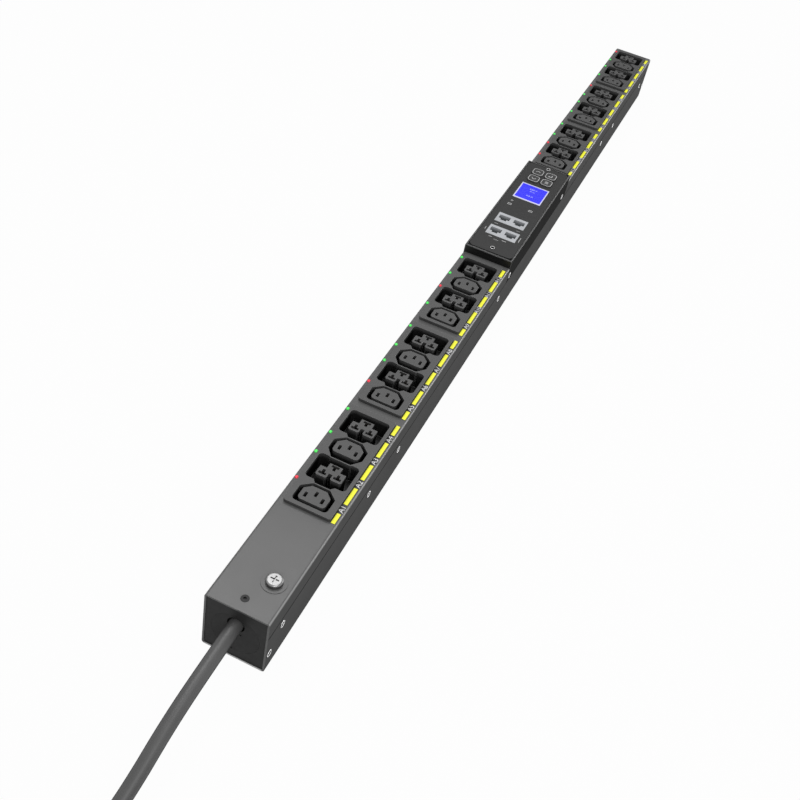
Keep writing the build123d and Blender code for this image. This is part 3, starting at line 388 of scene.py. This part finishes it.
def rings(name, centres, axis, radius, wire, material):
    """Thin bright rims round screw heads, all in one piece; axis is the way that they face."""
    around = 28
    curve = bpy.data.curves.new(name, "CURVE")
    curve.dimensions = "3D"
    curve.bevel_depth = wire / 2000
    curve.bevel_resolution = 2
    for centre in centres:
        spline = curve.splines.new("POLY")
        spline.points.add(around - 1)
        for k, point in enumerate(spline.points):
            turn = 2 * pi * k / around
            u, v = radius * cos(turn) / 1000, radius * sin(turn) / 1000
            offset = Vector((0, u, v)) if axis == "X" else Vector((u, v, 0))
            point.co = (*(centre + offset), 1)
        spline.use_cyclic_u = True
    return add(name, curve, material)


# Bare cut steel of the base sheet, painted pale to add the highlight that it catches.
cut_steel_and_highlight = finish("cut_steel_and_highlight", grey(200), 0.35, grain=900, bump=0.05, mottle=0.08, edge=0)
# Painted shadow: a black strip along each side where the cover meets the base, for the shade in the seam gap.
seam_shadow = finish("seam_shadow", grey(14), 0.8, grain=900, bump=0.05, mottle=0.1, edge=0)
seam = (38.05, 38.95)
for side, name in ((-1, "seam_shadow_left"), (1, "seam_shadow_right")):
    across = (side * (half_width - 0.4), side * (half_width + 0.05))
    strip(name, across, (0.6, enclosure_length - 0.6), seam, seam_shadow)
# The bare cut edge of the base sheet at the cord end, with a painted highlight.
flat_half = half_width - 2.0
strip("cut_edge_and_highlight", (-flat_half, flat_half), (-0.15, 0.6), (0.05, sheet - 0.05), cut_steel_and_highlight)

head_rise = 0.4
cover_screws = [(distance, 32.0) for distance in (21.0, 161.0, 218.5, 463.0, 843.5, 901.0, 1041.5)]
end_screws = [(distance, 18.6) for distance in (4.0, enclosure_length - 4.0)]
pod_screws = [(distance, 46.0) for distance in (487.0, 665.0)]
rims = [
    at(side * (half_width + head_rise), distance, z)
    for side in (-1, 1)
    for distance, z in cover_screws + end_screws + pod_screws
]
rings("side_screw_rims", rims, "X", 2.65, 0.7, screw_steel)
fascia_top = top_of("controller_fascia")
rims = [at(0, distance, fascia_top + 0.1) for distance in (494.6, 678.5)]
rings("fascia_screw_rims", rims, "Z", 2.1, 0.5, screw_steel)

# ---- Outlet numbers, four beside each module

module_starts = (99.5, 228.0, 356.5, 695.0, 823.5, 952.0)
first_outlet = 12.5
outlet_rows = (3.6, 32.7, 60.9, 89.3)
number_x = 21.2
print_lift = 0.03
number_z = top_of("label_strips") + print_lift
places = [start + first_outlet + row for start in module_starts for row in outlet_rows]
for n, place in enumerate(places, start=1):
    lettered(f"outlet_number_{n}", f"A{n}", 6.4, number_x, place, number_z, print_white, pi / 2)

# ---- Keys: a pale rim and a symbol on each

key_top = top_of("key_up")
key_x = 7.5
upper_row, lower_row = 664, 648
key_places = {
    "key_up": (-key_x, upper_row),
    "key_enter": (key_x, upper_row),
    "key_down": (-key_x, lower_row),
    "key_back": (key_x, lower_row),
}
key_marks = {
    "key_up": [chevron(5.2, 1.1, 1)],
    "key_down": [chevron(5.2, 1.1, -1)],
    "key_enter": [[(-3.0, -1.4), (-1.2, -3.0), (-1.2, -1.9), (1.7, -1.9), (1.7, 2.6), (0.7, 2.6), (0.7, -0.9),
                   (-1.2, -0.9), (-1.2, 0.2)]],
    "key_back": [bar(3.6, 0.9, 0, 1.8), bar(3.6, 0.9, 0, 0), bar(3.6, 0.9, 0, -1.8)],
}
rim = [rounded(12.0, 12.8, 3.6), rounded(10.6, 11.4, 3.0)]
for name, (x, row) in key_places.items():
    printed(f"{name}_rim", rim, x, row, key_top, print_grey, 0.12, bodies[name])
    printed(f"{name}_mark", key_marks[name], x, row, key_top, print_grey, 0.08, bodies[name])

# ---- Fascia: small generic symbols and caption bars

symbol_row = 583.0
symbol = [rounded(4.2, 3.6, 0.5), rounded(3.0, 2.4, 0.3)]
for n, x in enumerate((-13.0, 10.6), start=1):
    printed(f"fascia_symbol_{n}", symbol, x, symbol_row, fascia_top, print_grey)
    printed(f"fascia_symbol_line_{n}", [bar(2.0, 0.5)], x, symbol_row, fascia_top, print_grey)
dot = [rounded(2.6, 2.6, 1.29), rounded(1.5, 1.5, 0.74)]
printed("fascia_dot", dot, -13.0, symbol_row + 8, fascia_top, print_grey)
caption_bars = (
    (-9.0, 512.2, 3.4, 0.8),
    (6.0, 512.2, 4.6, 0.9),
    (-2.0, 509.6, 5.0, 0.5),
    (18.8, 524.0, 0.7, 9.0),
    (-18.6, 524.0, 0.6, 5.0),
    (-12.0, 538.5, 4.0, 0.5),
    (12.0, 538.5, 4.0, 0.5),
)
for n, (x, distance, wide, long) in enumerate(caption_bars, start=1):
    printed(f"caption_bar_{n}", [bar(wide, long)], x, distance, fascia_top, print_grey)

# ---- Display: three short readings

reading_z = top_of("display_panel") + print_lift
readings = (("230 V", 3.6, 626.0), ("50 Hz", 2.4, 621.5), ("4.6 A", 3.6, 611.5))
for n, (words, size, distance) in enumerate(readings, start=1):
    lettered(f"reading_{n}", words, size, 0, distance, reading_z, lcd_text)


# ---- The cord: one smooth line from the entry to the plug

cord_diameter = 0.011
low = 6.3
route = [
    at(0.0, 5.0, 38.0),
    at(-0.5, -40.0, 35.6),
    at(-1.2, -81.0, 29.0),
    at(-1.5, -117.0, 16.5),
    at(-4.0, -146.0, low),
    at(-14.0, -178.0, low),
    at(-16.0, -200.0, low),
]
coil_x, coil_y = 48.6, -222.0
turns = 6.5
inner, outer, step = 53.4, 64.6, 11.2
# Turns so far, radius and height: up the inner column and down the outer one.
winding = [
    (0.0, outer, low),
    (0.125, outer, low),
    (0.25, inner, low),
    (0.875, inner, low),
    (1.0, inner, low + step),
    (1.875, inner, low + step),
    (2.0, inner, low + 2 * step),
    (2.875, inner, low + 2 * step),
    (3.0, inner, low + 3 * step),
    (3.75, inner, low + 3 * step),
    (3.875, outer, low + 3 * step),
    (4.5, outer, low + 3 * step),
    (4.625, outer, low + 2 * step),
    (5.5, outer, low + 2 * step),
    (5.625, outer, low + step),
    (6.25, outer, low + step),
    (6.45, outer, low),
    (turns, outer, low),
]
steps_a_turn = 16
# The spline runs inside its control points by this share of the radius.
shrink = 0.75 + 0.25 * cos(2 * pi / steps_a_turn)


def wound(turn):
    """A place on the coil's winding, after so many turns, from the side where the cord comes in."""
    for (t0, r0, z0), (t1, r1, z1) in zip(winding, winding[1:]):
        if turn <= t1:
            share = (turn - t0) / (t1 - t0)
            r, z = r0 + share * (r1 - r0), z0 + share * (z1 - z0)
            break
    angle = pi + 2 * pi * turn
    r /= shrink
    return at(coil_x + r * cos(angle), coil_y + r * sin(angle), z)


for k in range(1, int(turns * steps_a_turn)):
    route.append(wound(k / steps_a_turn))
for distance, z in ((14, low), (30, low), (48, low + 0.6)):
    route.append(at(coil_x + outer, coil_y + distance, z))

line = bpy.data.curves.new("mains_cord", "CURVE")
line.dimensions = "3D"
line.bevel_depth = cord_diameter / 2
line.bevel_resolution = 8
line.resolution_u = 8
line.use_fill_caps = True
spline = line.splines.new("NURBS")
spline.points.add(len(route) - 1)
for point, place in zip(spline.points, route):
    point.co = (*place, 1)
spline.order_u = 3
spline.use_endpoint_u = True
mains_cord = add("mains_cord", line, sheath)
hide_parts("power_cord", "cord_coil")

# ---- Floor, light and camera


def shown(tree):
    """One for a camera, glossy or transmission ray, and none for the rays that carry light."""
    rays = tree.nodes.new("ShaderNodeLightPath")
    total = rays.outputs["Is Camera Ray"]
    for kind in ("Is Glossy Ray", "Is Transmission Ray"):
        node = tree.nodes.new("ShaderNodeMath")
        node.operation = "MAXIMUM"
        tree.links.new(total, node.inputs[0])
        tree.links.new(rays.outputs[kind], node.inputs[1])
        total = node.outputs[0]
    return total


def backdrop(name, shade, white):
    """Pale floor that keeps a soft shadow and shows so nearly white to the camera and in reflections."""
    material = bpy.data.materials.new(name)
    material.use_nodes = True
    tree = material.node_tree
    tree.nodes.clear()
    output = tree.nodes.new("ShaderNodeOutputMaterial")
    diffuse = tree.nodes.new("ShaderNodeBsdfDiffuse")
    diffuse.inputs["Color"].default_value = (shade, shade, shade, 1)
    glow = tree.nodes.new("ShaderNodeEmission")
    both = tree.nodes.new("ShaderNodeMixShader")
    most = tree.nodes.new("ShaderNodeMath")
    most.operation = "MULTIPLY"
    most.inputs[1].default_value = white
    tree.links.new(shown(tree), most.inputs[0])
    tree.links.new(most.outputs[0], both.inputs["Fac"])
    tree.links.new(diffuse.outputs[0], both.inputs[1])
    tree.links.new(glow.outputs[0], both.inputs[2])
    tree.links.new(both.outputs[0], output.inputs["Surface"])
    return material


floor_mesh = bpy.data.meshes.new("floor")
reach = 6.0
corners = [(-reach, -reach, 0), (reach, -reach, 0), (reach, reach, 0), (-reach, reach, 0)]
floor_mesh.from_pydata(corners, [], [(0, 1, 2, 3)])
floor_mesh.materials.append(backdrop("pale_floor", 0.5, 0.97))
floor = bpy.data.objects.new("floor", floor_mesh)
bpy.context.scene.collection.objects.link(floor)

world = bpy.data.worlds.new("studio")
bpy.context.scene.world = world
world.use_nodes = True
tree = world.node_tree
background = tree.nodes["Background"]
background.inputs["Color"].default_value = (1, 1, 1, 1)
world_light = 0.42
strength = ranged(tree, shown(tree), 0, 1, world_light, 1)
tree.links.new(strength, background.inputs["Strength"])


def softbox(name, place, target, size, power):
    """A rectangular area light aimed at a place."""
    light = bpy.data.lights.new(name, "AREA")
    light.shape = "RECTANGLE"
    light.size, light.size_y = size
    light.energy = power
    lamp = bpy.data.objects.new(name, light)
    bpy.context.scene.collection.objects.link(lamp)
    lamp.location = place
    lamp.rotation_euler = (Vector(target) - Vector(place)).to_track_quat("-Z", "Y").to_euler()


softbox("key_light", (-0.5, 0.15, 1.75), (0, -0.5, 0), (1.0, 1.0), 12.6)
softbox("fill_light", (1.0, -1.8, 1.6), (0, -0.2, 0), (1.2, 1.2), 18)
softbox("small_light", (0.6, -0.5, 1.8), (0, -0.6, 0), (0.3, 0.3), 3)
softbox("edge_light", (1.3, 1.5, 0.4), (0, 0, 0), (1.5, 0.3), 14)

# The camera's place, direction and focal length come from a fit to the photograph's outlets and corners.
picture_width = 800
focal_pixels = 1055.9
camera = bpy.data.cameras.new("camera")
camera.sensor_width = 36
camera.lens = focal_pixels * camera.sensor_width / picture_width
camera.clip_start = 0.05
viewer = bpy.data.objects.new("camera", camera)
bpy.context.scene.collection.objects.link(viewer)
right = Vector((0.901536, 0.401517, 0.161299)).normalized()
look = Vector((-0.197002, 0.712762, -0.673172)).normalized()
up = right.cross(look).normalized()
turned = Matrix((right, up, -look)).transposed().to_4x4()
viewer.matrix_world = Matrix.Translation((0.181956, -0.916032, 0.645552)) @ turned
bpy.context.scene.camera = viewer
bpy.context.scene.view_settings.view_transform = "Standard"
